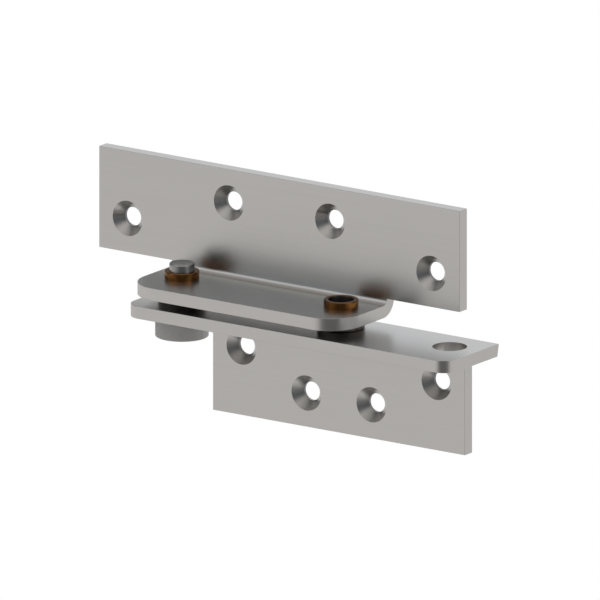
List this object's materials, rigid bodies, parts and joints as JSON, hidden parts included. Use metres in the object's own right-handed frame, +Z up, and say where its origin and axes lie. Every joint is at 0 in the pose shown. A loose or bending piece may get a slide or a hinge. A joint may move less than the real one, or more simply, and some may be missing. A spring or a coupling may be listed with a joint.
{
  "type": "full surface hinge",
  "caption": "Offset surface hinge: a bent frame leaf and a T-section door leaf turn on a stepped pin in a flanged bronze bushing.",
  "frame": {"origin": "centre of the frame leaf's back face, which rests on the door frame", "axes": "+X along both leaves, away from the pivot pin; +Y into the door frame, away from the screw heads; +Z up"},
  "size_m": [0.1799, 0.0358, 0.0871],
  "materials": {
    "leaf_steel": "satin stainless steel, evenly ground",
    "pin_steel": "turned stainless steel",
    "bushing_bronze": "sintered bronze, machined"
  },
  "bodies": {
    "frame": {"frame_leaf": "leaf_steel", "pivot_bushing": "bushing_bronze", "spare_bushing": "bushing_bronze"},
    "door": {"door_pivot_plate": "leaf_steel", "door_screw_plate": "leaf_steel", "fillet_weld": "leaf_steel", "pivot_pin": "pin_steel"}
  },
  "joints": [
    {"name": "door_swing", "type": "hinge", "parent": "frame", "child": "door", "pos_m": [-0.0361, -0.01636, -0.02958], "axis": [0, 0, -1], "range_deg": [0, 180]}
  ]
}
